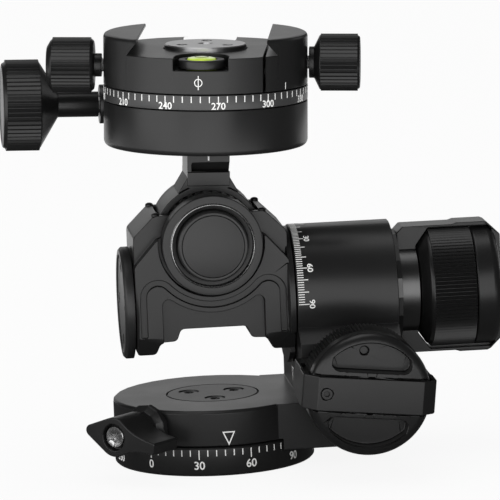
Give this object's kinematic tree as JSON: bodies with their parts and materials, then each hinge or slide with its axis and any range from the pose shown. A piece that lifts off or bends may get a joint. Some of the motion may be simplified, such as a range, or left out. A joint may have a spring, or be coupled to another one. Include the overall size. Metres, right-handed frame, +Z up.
{
  "type": "geared tripod head with panning clamp",
  "caption": "Geared tripod head: round foot, panning L-shaped body, rolling two-cheeked housing, tilting yoke and a worm-driven panning dovetail clamp.",
  "frame": {"origin": "centre of the foot disc's bottom face, on the pan axis", "axes": "+Z up along the pan axis, +X along the roll axis towards the tilt knob, -Y towards the roll knob"},
  "size_m": [0.1348, 0.0832, 0.1191],
  "materials": {
    "black_anodised": "satin black anodised, fine bead-blasted grain",
    "black_knob": "black anodised and knurled",
    "dark_steel": "blackened steel",
    "bright_steel": "turned stainless steel",
    "brass": "turned",
    "bronze": "turned bearing bronze",
    "vial_green": "clear cap over green-yellow fluid"
  },
  "bodies": {
    "base": {"base_disc": "black_anodised", "tripod_bush": "bright_steel", "pan_cap": "black_anodised", "pan_cap_screw_1": "dark_steel", "pan_cap_screw_2": "dark_steel", "pan_cap_screw_3": "dark_steel", "pan_glide_ring": "bronze"},
    "pan_body": {"pan_bracket": "black_anodised", "pan_brake_shoe": "brass", "bracket_set_screw": "dark_steel", "roll_bearing_ring": "bronze"},
    "lever": {"lock_lever": "black_anodised", "lock_stud": "bright_steel", "lock_lever_screw": "bright_steel"},
    "roll_knob": {"roll_worm_shaft": "bright_steel", "roll_knob_ring": "black_knob"},
    "roll_release": {"roll_face_plate": "black_knob", "roll_release_bar": "black_knob", "roll_bar_screw": "dark_steel"},
    "housing": {"tilt_housing": "black_anodised", "housing_end_cap": "black_anodised", "roll_shaft": "bright_steel", "roll_worm_wheel": "bronze", "roll_end_washer": "dark_steel", "shoulder_screw_1": "dark_steel", "shoulder_screw_2": "dark_steel", "shoulder_screw_3": "dark_steel", "shoulder_screw_4": "dark_steel", "tilt_boss_front": "black_anodised", "tilt_boss_rear": "black_anodised", "tilt_cap_front": "black_anodised", "tilt_cap_rear": "black_anodised", "tilt_bearing_front": "bronze", "tilt_bearing_rear": "bronze"},
    "tilt_knob": {"tilt_worm_shaft": "bright_steel", "tilt_knob_ring": "black_knob"},
    "tilt_release": {"tilt_face_plate": "black_knob", "tilt_release_bar": "black_knob", "tilt_bar_screw": "dark_steel"},
    "yoke_body": {"yoke": "black_anodised", "tilt_worm_wheel": "dark_steel", "tilt_axle": "bright_steel", "clamp_base": "black_anodised", "scale_ring": "black_anodised"},
    "clamp_worm": {"clamp_worm_shaft": "bright_steel", "clamp_worm_knob": "black_knob"},
    "clamp_top": {"clamp_body": "black_anodised", "clamp_worm_wheel": "bronze", "clamp_spindle": "bright_steel", "top_disc": "bright_steel", "level_bezel": "black_anodised", "level_vial": "vial_green"},
    "pan_lock": {"pan_lock_knob": "black_knob", "pan_lock_stud": "bright_steel"},
    "jaw": {"moving_jaw": "black_anodised", "jaw_guide_pin_front": "bright_steel", "jaw_guide_pin_rear": "bright_steel"},
    "jaw_knob": {"clamp_knob": "black_knob", "jaw_screw": "bright_steel"}
  },
  "joints": [
    {"name": "pan", "type": "hinge", "parent": "base", "child": "pan_body", "pos_m": [0, 0, 0], "axis": [0, 0, 1], "continuous": true},
    {"name": "lock_lever_turn", "type": "hinge", "parent": "pan_body", "child": "lever", "pos_m": [0, 0, 0.0132], "axis": [-0.6909, -0.723, 0], "range_deg": [0, 75]},
    {"name": "roll", "type": "hinge", "parent": "pan_body", "child": "housing", "pos_m": [0, 0, 0.0445], "axis": [1, 0, 0], "range_deg": [-30, 60]},
    {"name": "roll_knob_turn", "type": "hinge", "parent": "pan_body", "child": "roll_knob", "pos_m": [0.0376, 0, 0.0243], "axis": [0, -1, 0], "range_deg": [-1201, 2401]},
    {"name": "roll_release_turn", "type": "hinge", "parent": "pan_body", "child": "roll_release", "pos_m": [0.0376, 0, 0.0243], "axis": [0, -1, 0], "range_deg": [0, 60], "stiffness_Nm_per_rad": 0.05},
    {"name": "tilt", "type": "hinge", "parent": "housing", "child": "yoke_body", "pos_m": [0, 0, 0.0619], "axis": [0, 1, 0], "range_deg": [-32.05, 27.95]},
    {"name": "tilt_knob_turn", "type": "hinge", "parent": "housing", "child": "tilt_knob", "pos_m": [0.06, 0, 0.0445], "axis": [1, 0, 0], "range_deg": [-1026.6, 895.4]},
    {"name": "tilt_release_turn", "type": "hinge", "parent": "housing", "child": "tilt_release", "pos_m": [0.06, 0, 0.0445], "axis": [1, 0, 0], "range_deg": [0, 60], "stiffness_Nm_per_rad": 0.05},
    {"name": "clamp_pan", "type": "hinge", "parent": "yoke_body", "child": "clamp_top", "pos_m": [0, 0, 0.0619], "axis": [0.0358, 0, 0.9994], "continuous": true},
    {"name": "clamp_worm_turn", "type": "hinge", "parent": "yoke_body", "child": "clamp_worm", "pos_m": [0.00123, 0.019, 0.09638], "axis": [-0.9994, 0, 0.0358], "continuous": true},
    {"name": "pan_lock_turn", "type": "hinge", "parent": "clamp_top", "child": "pan_lock", "pos_m": [0.00168, 0, 0.10897], "axis": [-0.9886, 0.1461, 0.0354], "range_deg": [0, 360]},
    {"name": "jaw_slide", "type": "slide", "parent": "clamp_top", "child": "jaw", "axis": [0.9886, -0.1461, -0.0354], "range_m": [-0.0002, 0.0018]},
    {"name": "jaw_knob_turn", "type": "hinge", "parent": "jaw", "child": "jaw_knob", "pos_m": [0.00172, 0, 0.10987], "axis": [0.9886, -0.1461, -0.0354], "range_deg": [-60, 521]}
  ],
  "couplings": [
    {"joint": "roll_knob_turn", "follows": "roll", "ratio": 40},
    {"joint": "tilt_knob_turn", "follows": "tilt", "ratio": 32},
    {"joint": "clamp_worm_turn", "follows": "clamp_pan", "ratio": -40},
    {"joint": "jaw_knob_turn", "follows": "jaw_slide", "rad_per_m": 5026.5}
  ]
}
